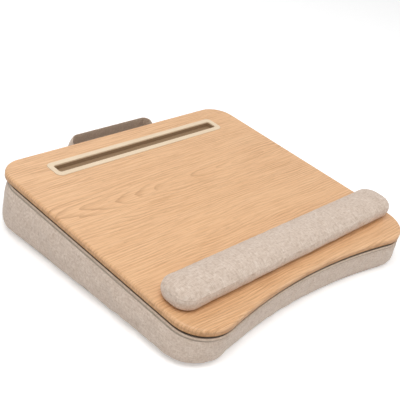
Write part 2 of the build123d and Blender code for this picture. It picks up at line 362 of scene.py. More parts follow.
@dataclass(frozen=True)
class Linen:
    """Plain-woven heather cloth: two sets of slubby threads with dark and pale flecks."""

    name: str
    base: Colour
    dark: Colour
    light: Colour
    thread: float = 0.95 * MM
    turn: float = 0.0
    fleck: float = 0.5
    sheen: float = 0.25
    sheen_roughness: float = 0.5
    gloss: float = 0.2

    def make(self) -> bpy.types.Material:
        """Makes the material, its weave laid on the UV map in metres.

        Returns:
            The material.
        """
        shader = Shader(self.name)
        place = shader.coordinates("UV")
        turned = shader.add("ShaderNodeMapping", inputs={"Vector": place, "Rotation": (0.0, 0.0, self.turn)})
        u, v, _ = shader.split(turned.outputs[0])
        sway_u = (shader.grain(shader.join(u * 90, v * 30), 1.0) - 0.5) * self.thread * 1.1
        sway_v = (shader.grain(shader.join(u * 30, v * 90, 3.0), 1.0) - 0.5) * self.thread * 1.1
        warp = shader.maths("SINE", (u + sway_u) * (math.pi / self.thread))
        weft = shader.maths("SINE", (v + sway_v) * (math.pi / self.thread))
        over = shader.spread(warp * weft, -0.35, 0.35)
        high = shader.maths("ABSOLUTE", warp) * over + shader.maths("ABSOLUTE", weft) * (1 - over)
        warp_tone = shader.grain(shader.join(u * 1050, v * 75), 1.0, 2.0)
        weft_tone = shader.grain(shader.join(u * 75, v * 1050, 5.0), 1.0, 2.0)
        thread_tone = warp_tone * over + weft_tone * (1 - over)
        heather = shader.grain(shader.join(u, v, 1.0), 270.0, 3.0)
        cloud = shader.grain(shader.join(u, v, 2.0), 55.0, 2.0)
        dark = shader.spread(thread_tone, 0.5, 0.72) * self.fleck + shader.spread(heather, 0.5, 0.75) * 0.45
        pale = shader.spread(thread_tone, 0.48, 0.3) * self.fleck + shader.spread(heather, 0.48, 0.3) * 0.35
        colour = shader.mix(dark, self.base, self.dark)
        colour = shader.mix(pale, colour, self.light)
        colour = shader.mix(shader.spread(cloud, 0.35, 0.7) * 0.18, colour, self.dark)
        # Painted shade: the low points of the weave between the threads are darkened
        colour = shader.mix((1 - high) * 0.3, colour, self.dark)
        height = high * 0.75 + thread_tone * 0.35
        shader.wear(colour, 0.86 + 0.1 * heather, shader.bump(height, 0.22 * MM, 0.8))
        shader.feed(shader.skin, "Sheen Weight", self.sheen)
        shader.feed(shader.skin, "Sheen Roughness", self.sheen_roughness)
        shader.feed(shader.skin, "Specular IOR Level", self.gloss)
        return shader.material


@dataclass(frozen=True)
class Moulded:
    """Moulded plastic with a fine spark-eroded grain and faint flow marks."""

    name: str
    colour: Colour
    shade: Colour
    roughness: float = 0.5

    def make(self) -> bpy.types.Material:
        """Makes the material, on object coordinates.

        Returns:
            The material.
        """
        shader = Shader(self.name)
        place = shader.coordinates("Object")
        spark = shader.grain(place, 1900.0, 2.0)
        flow = shader.grain(place, 24.0, 2.0)
        colour = shader.mix(shader.spread(flow, 0.35, 0.7) * 0.35, self.colour, self.shade)
        shader.wear(colour, self.roughness + 0.12 * (spark - 0.5), shader.bump(spark, 0.03 * MM, 0.5))
        return shader.material


@dataclass(frozen=True)
class Nap:
    """Face of a hook or loop tape: rows of small bristles on a woven ground."""

    name: str
    colour: Colour
    shade: Colour
    pitch: float = 1.6 * MM

    def make(self) -> bpy.types.Material:
        """Makes the material, on the UV map in metres.

        Returns:
            The material.
        """
        shader = Shader(self.name)
        u, v, _ = shader.split(shader.coordinates("UV"))
        across = shader.maths("ABSOLUTE", shader.maths("SINE", u * (math.pi / self.pitch)))
        along = shader.maths("ABSOLUTE", shader.maths("SINE", v * (math.pi / self.pitch)))
        tuft = across * along * shader.spread(shader.grain(shader.join(u, v), 1400.0), 0.2, 0.8)
        # Painted shade: the ground between the tufts takes the darker colour
        colour = shader.mix(shader.spread(tuft, 0.1, 0.8), self.shade, self.colour)
        shader.wear(colour, 0.85, shader.bump(tuft, 0.5 * MM, 0.9))
        return shader.material


@dataclass(frozen=True)
class Enamel:
    """Enamelled die-cast metal with rubbed spots."""

    name: str
    colour: Colour
    worn: Colour

    def make(self) -> bpy.types.Material:
        """Makes the material, on object coordinates.

        Returns:
            The material.
        """
        shader = Shader(self.name)
        place = shader.coordinates("Object")
        rub = shader.spread(shader.grain(place, 900.0, 3.0), 0.62, 0.85) * 0.6
        shader.wear(
            shader.mix(rub, self.colour, self.worn),
            0.38 - 0.1 * rub,
            shader.bump(shader.grain(place, 2600.0), 0.02 * MM, 0.4),
        )
        shader.feed(shader.skin, "Metallic", rub * 0.6 + 0.3)
        return shader.material


@dataclass(frozen=True)
class Thread:
    """Twisted sewing thread."""

    name: str
    colour: Colour
    shade: Colour

    def make(self) -> bpy.types.Material:
        """Makes the material, on object coordinates.

        Returns:
            The material.
        """
        shader = Shader(self.name)
        place = shader.coordinates("Object")
        x, y, z = shader.split(place)
        twist = shader.maths("SINE", (x + y + z) * 9000.0) * 0.5 + 0.5
        # Painted shade: the grooves of the twist take the darker colour
        shader.wear(shader.mix(twist, self.shade, self.colour), 0.7, shader.bump(twist, 0.05 * MM, 0.7))
        return shader.material


class Finishes:
    """Every finish of the tray, made once."""

    def __init__(self, plane: BoardPlane) -> None:
        """Makes the materials.

        Args:
            plane: The board's plane, which the oak is laid on.
        """
        self.oak = Oak(plane).make()
        cloth = self.heather((228, 209, 193), (172, 146, 124), (250, 239, 228))
        cord = self.heather((206, 187, 169), (164, 142, 122), (232, 217, 202))
        plain = self.heather((184, 167, 150), (150, 131, 114), (210, 195, 180))
        # Painted shade: the strap's lining is the same heather cloth made darker, standing in for the shade
        # on the inner face of the bow
        lining_painted_shade = self.heather((196, 176, 158), (150, 130, 112), (222, 205, 188))
        tape = self.heather((198, 179, 161), (164, 145, 127), (218, 202, 187))
        self.side = Linen("side_linen", **cloth).make()
        self.rest = Linen("rest_linen", **cloth).make()
        self.welt = Linen("welt_linen", **cord, turn=math.radians(45)).make()
        self.panel = Linen("panel_cloth", **plain).make()
        self.strap = Linen("strap_linen", **cloth).make()
        self.lining_painted_shade = Linen("strap_lining_painted_shade", **lining_painted_shade).make()
        self.tape = Linen("zip_tape", **tape, thread=0.5 * MM).make()
        self.trim = Moulded("slot_trim", linear(236, 214, 184), linear(224, 198, 166)).make()
        self.coil = Moulded("zip_coil", linear(186, 168, 150), linear(168, 150, 132), 0.4).make()
        self.hooks = Nap("hook_tape", linear(142, 127, 113), linear(92, 80, 70)).make()
        self.loops = Nap("loop_tape", linear(160, 145, 130), linear(116, 102, 90), 1.1 * MM).make()
        self.metal = Enamel("zip_metal", linear(150, 131, 112), linear(205, 196, 184)).make()
        self.thread = Thread("sewing_thread", linear(232, 219, 203), linear(186, 168, 149)).make()

    @staticmethod
    def heather(base: Sequence[int], dark: Sequence[int], light: Sequence[int]) -> dict[str, Colour]:
        """Names the three colours of a heather cloth.

        Args:
            base: The cloth's main colour, 8-bit sRGB.
            dark: Its dark flecks.
            light: Its pale flecks.

        Returns:
            The colours as a cloth's finish takes them.
        """
        return {"base": linear(*base), "dark": linear(*dark), "light": linear(*light)}


@dataclass(frozen=True)
class Station:
    """One point of an outline: where it is, which way is out, and how far along it lies."""

    place: Vector
    out: Vector
    run: float


@dataclass(frozen=True)
class Arc:
    """Part of a circle, walked from one angle to another, in degrees."""

    centre: Vector
    radius: float
    start: float
    end: float
    hollow: bool = False

    @property
    def length(self) -> float:
        """Length along the arc."""
        return abs(math.radians(self.end - self.start)) * self.radius

    def at(self, share: float) -> tuple[Vector, Vector]:
        """Finds a place along the arc.

        Args:
            share: Share of the way.

        Returns:
            The point, and the direction that is outward there.
        """
        angle = math.radians(self.start + (self.end - self.start) * share)
        ray = Vector((math.cos(angle), math.sin(angle)))
        return self.centre + ray * self.radius, -ray if self.hollow else ray


@dataclass(frozen=True)
class Straight:
    """Straight run of an outline."""

    start: Vector
    end: Vector

    @property
    def length(self) -> float:
        """Length of the run."""
        return (self.end - self.start).length

    def at(self, share: float) -> tuple[Vector, Vector]:
        """Point and outward direction at a share of the way."""
        way = (self.end - self.start).normalized()
        return self.start.lerp(self.end, share), Vector((way.y, -way.x))


def stations(runs: Sequence[Arc | Straight], spacing: float) -> list[Station]:
    """Points at even spacing along a closed outline.

    Args:
        runs: The outline's runs, walked anticlockwise.
        spacing: Distance between points, in metres.

    Returns:
        The stations, without a copy of the first at the end.
    """
    found = []
    run = 0.0
    for part in runs:
        steps = max(1, round(part.length / spacing))
        for step in range(steps):
            place, out = part.at(step / steps)
            found.append(Station(place, out, run + part.length * step / steps))
        run += part.length
    return found


@dataclass(frozen=True)
class TrayOutline:
    """Outline with a square back, rounded corners and a hollow front that fits the body."""

    half_width: float
    front: float
    back: float
    front_radius: float
    back_radius: float
    belly: float
    shift: Vector = field(default_factory=lambda: Vector((0.0, 0.0)))

    def runs(self) -> list[Arc | Straight]:
        """Lays out the outline from the middle of the back, anticlockwise.

        Returns:
            The runs.
        """
        corner_x = self.half_width - self.front_radius
        corner_y = self.front + self.front_radius
        reach = self.belly + self.front_radius
        belly_centre = Vector((0.0, corner_y - math.sqrt(reach**2 - corner_x**2)))
        swing = math.degrees(math.asin(corner_x / reach))
        back_x = self.half_width - self.back_radius
        back_y = self.back - self.back_radius
        move = self.shift
        return [
            Straight(Vector((0.0, self.back)) + move, Vector((-back_x, self.back)) + move),
            Arc(Vector((-back_x, back_y)) + move, self.back_radius, 90, 180),
            Straight(Vector((-self.half_width, back_y)) + move, Vector((-self.half_width, corner_y)) + move),
            Arc(Vector((-corner_x, corner_y)) + move, self.front_radius, 180, 270 + swing),
            Arc(belly_centre + move, self.belly, 90 + swing, 90 - swing, True),
            Arc(Vector((corner_x, corner_y)) + move, self.front_radius, -90 - swing, 0),
            Straight(Vector((self.half_width, corner_y)) + move, Vector((self.half_width, back_y)) + move),
            Arc(Vector((back_x, back_y)) + move, self.back_radius, 0, 90),
            Straight(Vector((back_x, self.back)) + move, Vector((0.0, self.back)) + move),
        ]


@dataclass
class Ring:
    """One closed row of points round a form, with the cloth's own measure across it."""

    points: list[Vector]
    across: float
    flat: bool = False
    finish: int = 0


def link(name: str, mesh: bpy.types.Mesh, finishes: Sequence[bpy.types.Material]) -> bpy.types.Object:
    """Puts a mesh into the scene as a smooth object.

    Args:
        name: Name of the object.
        mesh: The mesh, which gets the finishes.
        finishes: Its materials.

    Returns:
        The object.
    """
    for finish in finishes:
        mesh.materials.append(finish)
    mesh.polygons.foreach_set("use_smooth", [True] * len(mesh.polygons))
    piece = bpy.data.objects.new(name, mesh)
    bpy.context.scene.collection.objects.link(piece)
    return piece


def settle(work: bmesh.types.BMesh, name: str, finishes: Sequence[bpy.types.Material]) -> bpy.types.Object:
    """Turns what was built into an object of the scene.

    Args:
        work: The mesh, which is freed.
        name: Name of the piece.
        finishes: Its materials.

    Returns:
        The piece.
    """
    mesh = bpy.data.meshes.new(name)
    work.to_mesh(mesh)
    work.free()
    return link(name, mesh, finishes)


def dress(piece: bpy.types.Object, body: str, slot: str, *nodes: str) -> None:
    """Says what a finished piece belongs to.

    Args:
        piece: The piece.
        body: Body that it moves with.
        slot: Material slot of its finish; not used.
        nodes: Nodes of the frame that it stands for.
    """
    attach(piece, body)
    if nodes:
        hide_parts(*nodes)


def close_panel(
    work: bmesh.types.BMesh, row: list[bmesh.types.BMVert], centre: Vector
) -> list[bmesh.types.BMFace]:
    """Closes a flat panel with ever fewer points towards its middle.

    Args:
        work: The mesh.
        row: Points of the panel's edge.
        centre: The panel's middle.

    Returns:
        The new faces.
    """
    faces = []
    while len(row) > 30:
        inner = [work.verts.new(vert.co.lerp(centre, 0.45)) for vert in row[::4]]
        for i, vert in enumerate(inner):
            outer = (row + row[:1])[4 * i : 4 * i + 5]
            faces.append(work.faces.new([*outer, inner[(i + 1) % len(inner)], vert]))
        row = inner
    pole = work.verts.new(centre)
    faces += [work.faces.new((vert, after, pole)) for vert, after in zip(row, row[1:] + row[:1])]
    return faces


def wrap_rings(
    name: str,
    rings: Sequence[Ring],
    runs: Sequence[float],
    total: float,
    finishes: Sequence[bpy.types.Material],
    centres: Sequence[Vector] = (),
) -> bpy.types.Object:
    """Skins closed rings into one surface, with a UV map in metres.

    Args:
        name: Name of the piece.
        rings: Rows from the first to the last; a flat ring takes its UV from x and y.
        runs: Distance along the outline of each column.
        total: Length of the whole outline.
        finishes: Materials that the rings' numbers choose from.
        centres: Middles of the flat panels that close the first and the last ring, where they aren't closed.

    Returns:
        The piece.
    """
    work = bmesh.new()
    chart = work.loops.layers.uv.new("cloth")
    mark = work.verts.layers.int.new("row")
    count = len(runs)
    rows = [[work.verts.new(p) for p in ring.points] for ring in rings]
    for number, row in enumerate(rows):
        for vert in row:
            vert[mark] = number
    for lower, upper, ring, above in zip(rows, rows[1:], rings, rings[1:]):
        for i in range(count):
            j = (i + 1) % count
            face = work.faces.new((lower[i], lower[j], upper[j], upper[i]))
            face.material_index = above.finish
            far = total if j == 0 else runs[j]
            near, start, end = runs[i], ring.across, above.across
            spots = ((near, start), (far, start), (far, end), (near, end))
            for loop, spot in zip(face.loops, spots):
                loop[chart].uv = loop.vert.co.xy if above.flat else spot
    for centre, row, ring in zip(centres, (rows[0][::-1], rows[-1]), (rings[0], rings[-1])):
        for face in close_panel(work, row, centre):
            face.material_index = ring.finish
            for loop in face.loops:
                loop[chart].uv = loop.vert.co.xy
    bmesh.ops.remove_doubles(work, verts=work.verts, dist=0.02 * MM)
    return settle(work, name, finishes)


def tube(
    name: str, path: Sequence[Vector], radius: float, finish: bpy.types.Material, sides: int = 12
) -> bpy.types.Object:
    """Lays a round cord along a closed path, with a UV map in metres.

    Args:
        name: Name of the piece.
        path: Points of its centreline.
        radius: Half its thickness.
        finish: Its material.
        sides: Number of its sides.

    Returns:
        The piece.
    """
    work = bmesh.new()
    chart = work.loops.layers.uv.new("cloth")
    count = len(path)
    rows, runs, run = [], [], 0.0
    for i, point in enumerate(path):
        ahead = path[(i + 1) % count]
        way = (ahead - path[i - 1]).normalized()
        side = way.cross(Vector((0.0, 0.0, 1.0))).normalized()
        top = side.cross(way)
        angles = [2 * math.pi * k / sides for k in range(sides)]
        spots = [point + (side * math.cos(a) + top * math.sin(a)) * radius for a in angles]
        rows.append([work.verts.new(spot) for spot in spots])
        runs.append(run)
        run += (ahead - point).length
    around = 2 * math.pi * radius / sides
    for i in range(count):
        j = (i + 1) % count
        far = run if j == 0 else runs[j]
        for k in range(sides):
            m = (k + 1) % sides
            low, high = k * around, (k + 1) * around
            face = work.faces.new((rows[i][k], rows[i][m], rows[j][m], rows[j][k]))
            for loop, spot in zip(face.loops, ((runs[i], low), (runs[i], high), (far, high), (far, low))):
                loop[chart].uv = spot
    bmesh.ops.recalc_face_normals(work, faces=work.faces)
    return settle(work, name, [finish])


@dataclass(frozen=True)
class Swelling:
    """Short cloth simulation that blows a closed piece up a little."""

    pressure: float
    slack: float
    furthest: float
    frames: int = 18
    quality: int = 5
    mass: float = 0.25
    tension: float = 25.0
    compression: float = 15.0
    bending: float = 0.4

    def apply(self, piece: bpy.types.Object, held: Callable[[int, Vector], bool]) -> None:
        """Runs the simulation, and keeps each point near where it was.

        Args:
            piece: The piece, which gets the result.
            held: Tells from a point's row and place whether it stays where it is.
        """
        mesh = piece.data
        row_of = [item.value for item in mesh.attributes["row"].data]
        mesh.attributes.remove(mesh.attributes["row"])
        group = piece.vertex_groups.new(name="held")
        group.add([v.index for v in mesh.vertices if held(row_of[v.index], v.co)], 1.0, "REPLACE")
        modifier = piece.modifiers.new("cloth", "CLOTH")
        settings = modifier.settings
        settings.vertex_group_mass = group.name
        settings.use_pressure = True
        settings.uniform_pressure_force = self.pressure
        settings.effector_weights.gravity = 0.0
        settings.shrink_min = -self.slack
        settings.quality = self.quality
        settings.mass = self.mass
        settings.tension_stiffness = self.tension
        settings.compression_stiffness = self.compression
        settings.bending_stiffness = self.bending
        modifier.point_cache.frame_start = 1
        modifier.point_cache.frame_end = self.frames
        scene = bpy.context.scene
        for frame in range(1, self.frames + 1):
            scene.frame_set(frame)
        result = piece.evaluated_get(bpy.context.evaluated_depsgraph_get())
        after = [v.co.copy() for v in result.data.vertices]
        piece.modifiers.remove(modifier)
        piece.vertex_groups.remove(group)
        for vertex, place in zip(mesh.vertices, after):
            move = place - vertex.co
            if move.length > self.furthest:
                place = vertex.co + move * (self.furthest / move.length)
            vertex.co = place
        scene.frame_set(1)


def smooth_finish(piece: bpy.types.Object) -> None:
    """Adds one level of subdivision, in the view and in the render alike."""
    modifier = piece.modifiers.new("smooth", "SUBSURF")
    modifier.levels = modifier.render_levels = 1


def surface_tree(piece: bpy.types.Object) -> BVHTree:
    """Search tree of a piece's surface as it is shown."""
    return BVHTree.FromObject(piece, bpy.context.evaluated_depsgraph_get())


class Stitcher:
    """Rows of stitches, made by one Geometry Nodes tree and turned into plain meshes."""

    def __init__(self, finish: bpy.types.Material) -> None:
        """Builds the tree: points along a curve, one small spindle on each, laid along it.

        Args:
            finish: Material of the stitches.
        """
        self.finish = finish
        self.tree = bpy.data.node_groups.new("stitch_row", "GeometryNodeTree")
        face = self.tree.interface
        face.new_socket("Geometry", in_out="INPUT", socket_type="NodeSocketGeometry")
        self.inputs = {
            label: face.new_socket(label, in_out="INPUT", socket_type="NodeSocketFloat").identifier
            for label in ("Pitch", "Length", "Radius")
        }
        face.new_socket("Geometry", in_out="OUTPUT", socket_type="NodeSocketGeometry")
        entry = self.node("NodeGroupInput")
        points = self.node("GeometryNodeCurveToPoints", {"mode": "LENGTH"})
        turn = self.node("FunctionNodeAlignRotationToVector", {"axis": "Z"})
        ball = self.node("GeometryNodeMeshUVSphere")
        ball.inputs["Segments"].default_value = 6
        ball.inputs["Rings"].default_value = 4
        ball.inputs["Radius"].default_value = 1.0
        size = self.node("ShaderNodeCombineXYZ")
        place = self.node("GeometryNodeInstanceOnPoints")
        real = self.node("GeometryNodeRealizeInstances")
        paint = self.node("GeometryNodeSetMaterial")
        paint.inputs["Material"].default_value = finish
        leave = self.node("NodeGroupOutput")
        for start, end in (
            (entry.outputs["Geometry"], points.inputs["Curve"]),
            (entry.outputs["Pitch"], points.inputs["Length"]),
            (points.outputs["Tangent"], turn.inputs["Vector"]),
            (entry.outputs["Radius"], size.inputs[0]),
            (entry.outputs["Radius"], size.inputs[1]),
            (entry.outputs["Length"], size.inputs[2]),
            (points.outputs["Points"], place.inputs["Points"]),
            (ball.outputs["Mesh"], place.inputs["Instance"]),
            (turn.outputs["Rotation"], place.inputs["Rotation"]),
            (size.outputs[0], place.inputs["Scale"]),
            (place.outputs["Instances"], real.inputs["Geometry"]),
            (real.outputs["Geometry"], paint.inputs["Geometry"]),
            (paint.outputs["Geometry"], leave.inputs["Geometry"]),
        ):
            self.tree.links.new(start, end)

    def node(self, kind: str, settings: dict[str, object] | None = None) -> bpy.types.Node:
        """Adds one node to the tree.

        Args:
            kind: The node's type.
            settings: Its attributes.

        Returns:
            The node.
        """
        made = self.tree.nodes.new(kind)
        for key, value in (settings or {}).items():
            setattr(made, key, value)
        return made

    def sew(
        self,
        name: str,
        paths: Sequence[Sequence[Vector]],
        pitch: float = 4 * MM,
        length: float = 2.8 * MM,
        radius: float = 0.32 * MM,
        closed: bool = False,
    ) -> bpy.types.Object:
        """Sews stitches along paths.

        Args:
            name: Name of the piece.
            paths: One list of points for each row.
            pitch: Distance from one stitch to the next.
            length: Length of a stitch.
            radius: Half its thickness.
            closed: Whether the rows are closed.

        Returns:
            The stitches as one plain mesh.
        """
        curve = bpy.data.curves.new(name + "_path", "CURVE")
        curve.dimensions = "3D"
        for path in paths:
            spline = curve.splines.new("POLY")
            spline.points.add(len(path) - 1)
            for point, spot in zip(spline.points, path):
                point.co = (*spot, 1.0)
            spline.use_cyclic_u = closed
        guide = bpy.data.objects.new(name + "_guide", curve)
        bpy.context.scene.collection.objects.link(guide)
        modifier = guide.modifiers.new("stitches", "NODES")
        modifier.node_group = self.tree
        modifier[self.inputs["Pitch"]] = pitch
        modifier[self.inputs["Length"]] = length / 2
        modifier[self.inputs["Radius"]] = radius
        graph = bpy.context.evaluated_depsgraph_get()
        mesh = bpy.data.meshes.new_from_object(guide.evaluated_get(graph), depsgraph=graph)
        mesh.name = name
        bpy.data.objects.remove(guide)
        bpy.data.curves.remove(curve)
        mesh.materials.clear()
        return link(name, mesh, [self.finish])


@dataclass
class WedgeCushion:
    """Linen wedge cushion: one closed cover with a swollen side, and the welt on its top seam.

    Sizes are in metres, apart from the three in millimetres that say how far the cloth stands off.
    """

    plane: BoardPlane
    finishes: Finishes
    half_width: float = 227 * MM
    depth: float = 424 * MM
    front_radius: float = 49 * MM
    back_radius: float = 52 * MM
    belly: float = 810 * MM
    shift_left: float = 5 * MM
    shift_front: float = 3 * MM
    seam_inset: float = 2.5 * MM
    panel_drop: float = 13.2 * MM
    panel_thickness: float = 1 * MM
    welt_radius: float = 1.5 * MM
    welt_sink: float = 0.45 * MM
    welt_spacing: float = 3.5 * MM
    welt_lump: float = 0.2 * MM
    spacing: float = 5 * MM
    shrink: float = 1.2 * MM
    swelling: Swelling = Swelling(pressure=4.0, slack=0.012, furthest=4.5 * MM)
    rows: int = 15
    lowest: float = 1.3 * MM
    seam_rim: float = 0.4 * MM
    side_height: float = 70 * MM
    search: float = 60 * MM
    hollow_mm: float = 1.1
    fold_mm: float = 0.5
    pucker_mm: float = 0.75
    panel_shares: tuple[float, ...] = (0.78, 0.9)
    back_wall: float = 195 * MM
    zip_low: float = 14 * MM
    zip_high: float = 46 * MM
    zip_reach: float = 190 * MM
    handle_middle: float = 3.5 * MM
    patch_near: float = 60 * MM
    patch_far: float = 104 * MM
    cover: bpy.types.Object = field(init=False)
    wall: BVHTree = field(init=False)

    def outline(self) -> TrayOutline:
        """Lays out the cushion in plan, without its swelling.

        Returns:
            The outline.
        """
        half_depth = self.depth / 2
        shift = Vector((-self.shift_left, -self.shift_front))
        return TrayOutline(
            self.half_width, -half_depth, half_depth, self.front_radius, self.back_radius, self.belly, shift
        )

    def wall_point(self, tree: BVHTree, station: Station, height: float) -> Vector:
        """Finds where the frame's side panel lies.

        Args:
            tree: Search tree of the panel.
            station: Place of the outline.
            height: Height over the floor.

        Returns:
            The point on the panel, or on the outline where it is missed.
        """
        out = Vector((station.out.x, station.out.y, 0.0))
        start = Vector((station.place.x, station.place.y, height)) + out * self.search
        spot, *_ = tree.ray_cast(start, -out, 2 * self.search)
        return spot if spot is not None else start - out * self.search

    def wobble(self, run: float, share: float) -> float:
        """Works out how far the cloth stands off its smooth form.

        Args:
            run: Distance along the outline.
            share: Share of the way up the side.

        Returns:
            The distance: soft hollows and folds, and puckers near both seams.
        """
        hollow = noise.noise(Vector((run * 17, share * 1.6, 4.0))) * self.hollow_mm * MM
        fold = noise.noise(Vector((run * 62, share * 2.4, 9.0))) * self.fold_mm * MM
        near_top = math.exp(-(1 - share) * 7)
        near_floor = math.exp(-share * 8)
        pucker = noise.noise(Vector((run * 150, 0.0, 20.0))) * self.pucker_mm * MM * (near_top + near_floor)
        return (hollow + fold) * math.sin(math.pi * min(max(share, 0.0), 1.0)) + pucker

    def build_cover(self) -> bpy.types.Object:
        """Builds the closed cover: its side follows the frame and swells, and it is flat on the floor.

        Returns:
            The cover.
        """
        frame_wall = surface_tree(bpy.data.objects["cover_side_panel"])
        outline = self.outline()
        walk = stations(outline.runs(), self.spacing)
        total = sum(run.length for run in outline.runs())
        base = [self.wall_point(frame_wall, s, self.lowest) for s in walk]
        inward = [Vector((s.out.x, s.out.y, 0.0)) for s in walk]

        def floor(_: Vector) -> float:
            """Height of the floor."""
            return 0.0

        def base_edge(_: Vector) -> float:
            """Height of the rounding at the foot of the side."""
            return 0.5 * MM

        def panel(place: Vector) -> float:
            """Height of the tilted top panel."""
            return self.plane.height(place.y, self.panel_drop)

        def panel_edge(place: Vector) -> float:
            """Height of the panel's turned-in edge."""
            return panel(place) - 0.2 * MM

        def laid(points: Sequence[Vector], inset: float, height: Callable[[Vector], float]) -> list[Vector]:
            """Points moved in and set to a height."""
            moved = [p - way * inset for p, way in zip(points, inward)]
            return [Vector((p.x, p.y, height(p))) for p in moved]

        def drawn(points: Sequence[Vector], share: float, height: Callable[[Vector], float]) -> list[Vector]:
            """Points drawn towards the middle and set to a height."""
            return [Vector((p.x * share, p.y * share, height(p * share))) for p in points]

        rings = [Ring(drawn(base, share, floor), 0.0, True, 1) for share in self.panel_shares]
        rings += [Ring(laid(base, inset, floor), 0.0, True, 1) for inset in (4 * MM, 0.8 * MM)]
        rings.append(Ring(laid(base, -0.3 * MM, base_edge), 0.0, False, 1))
        first = len(rings)
        drop = self.panel_drop + self.panel_thickness
        for row in range(self.rows + 1):
            share = row / self.rows
            eased = 0.5 - 0.5 * math.cos(math.pi * share)
            eased = 0.5 * share + 0.5 * eased
            points = []
            for station in walk:
                top = self.plane.height(station.place.y, drop) - self.seam_rim
                height = self.lowest + (top - self.lowest) * eased
                point = self.wall_point(frame_wall, station, height)
                out = Vector((station.out.x, station.out.y, 0.0))
                ease_off = self.shrink * math.sin(math.pi * eased)
                point += out * (self.wobble(station.run, eased) - ease_off)
                points.append(point)
            rings.append(Ring(points, self.side_height * eased, False, 0))
        seam = rings[-1].points
        turned_in = self.side_height + 5.2 * MM
        rings.append(Ring(laid(seam, 0.2 * MM, panel_edge), turned_in, False, 1))
        rings.append(Ring(laid(seam, 1.4 * MM, panel), 0.0, True, 1))
        rings += [Ring(drawn(seam, share, panel), 0.0, True, 1) for share in self.panel_shares[::-1]]
        runs = [s.run for s in walk]
        finishes = [self.finishes.side, self.finishes.panel]
        centres = (Vector((0.0, 0.0, 0.0)), Vector((0.0, 0.0, self.plane.height(0.0, self.panel_drop))))
        cover = wrap_rings("cushion_cover", rings, runs, total, finishes, centres)
        last = first + self.rows

        def held(row: int, place: Vector) -> bool:
            """Whether a point lies on a panel, on a seam or behind the zip."""
            return row <= first or row >= last or self.behind_zip(place)

        self.swelling.apply(cover, held)
        smooth_finish(cover)
        return cover

    def behind_zip(self, place: Vector) -> bool:
        """Tells whether a point carries the zip or a handle patch.

        Args:
            place: The point.

        Returns:
            Whether it does.
        """
        zip_band = self.zip_low < place.z < self.zip_high and abs(place.x) < self.zip_reach
        aside = abs(place.x - self.handle_middle)
        patch_band = place.z >= self.zip_high and self.patch_near < aside < self.patch_far
        return place.y > self.back_wall and (zip_band or patch_band)

    def build_welt(self) -> bpy.types.Object:
        """Builds the cord in a bias strip of linen that is sewn round the top seam.

        Returns:
            The welt.
        """
        inset = self.seam_inset + self.welt_radius
        drop = self.panel_drop - self.welt_radius + self.welt_sink
        path = []
        for station in stations(self.outline().runs(), self.welt_spacing):
            spot = station.place - station.out * inset
            lump = noise.noise(Vector((station.run * 120, 3.0, 0.0))) * self.welt_lump
            path.append(Vector((spot.x, spot.y, self.plane.height(spot.y, drop) + lump)))
        return tube("cushion_welt", path, self.welt_radius, self.finishes.welt)

    def build(self) -> None:
        """Builds and dresses the cushion."""
        self.cover = self.build_cover()
        panels = ("cover_side_panel", "cover_top_panel", "cover_base_panel")
        dress(self.cover, "cushion", "linen_cloth", *panels, "foam_core")
        self.wall = surface_tree(self.cover)
        dress(self.build_welt(), "cushion", "welt_cloth", "cushion_piping")
        LOG.info("cushion: cover and welt")


@dataclass
class WallPiece:
    """Cloth laid on the cushion's back wall over a rectangle of x and z."""

    wall: BVHTree
    left: float
    right: float
    low: float
    high: float
    lift: float
    step: float = 3 * MM
    tuck: float = 0.3 * MM
    ray_start: float = 300 * MM
    ray_length: float = 200 * MM
    depth_if_missed: float = 214 * MM

    def depth_at(self, x: float, z: float) -> float:
        """Finds the cushion's wall behind a place.

        Args:
            x: The place, to the right.
            z: Its height.

        Returns:
            The wall's y there.
        """
        start = Vector((x, self.ray_start, z))
        spot, *_ = self.wall.ray_cast(start, Vector((0.0, -1.0, 0.0)), self.ray_length)
        return spot.y if spot is not None else self.depth_if_missed

    def build(self, name: str, finish: bpy.types.Material) -> bpy.types.Object:
        """Builds the cloth, with turned-in edges and a UV map in metres.

        Args:
            name: Name of the piece.
            finish: Its material.

        Returns:
            The piece.
        """
        work = bmesh.new()
        chart = work.loops.layers.uv.new("cloth")
        across = max(2, round((self.right - self.left) / self.step))
        up = max(2, round((self.high - self.low) / self.step))
        grid = []
        for j in range(up + 1):
            row = []
            for i in range(across + 1):
                x = self.left + (self.right - self.left) * i / across
                z = self.low + (self.high - self.low) * j / up
                edge = i in (0, across) or j in (0, up)
                lift = -self.tuck if edge else self.lift
                row.append(work.verts.new((x, self.depth_at(x, z) + lift, z)))
            grid.append(row)
        for j in range(up):
            for i in range(across):
                face = work.faces.new((grid[j][i], grid[j + 1][i], grid[j + 1][i + 1], grid[j][i + 1]))
                for loop in face.loops:
                    loop[chart].uv = (loop.vert.co.x, loop.vert.co.z)
        piece = settle(work, name, [finish])
        smooth_finish(piece)
        return piece


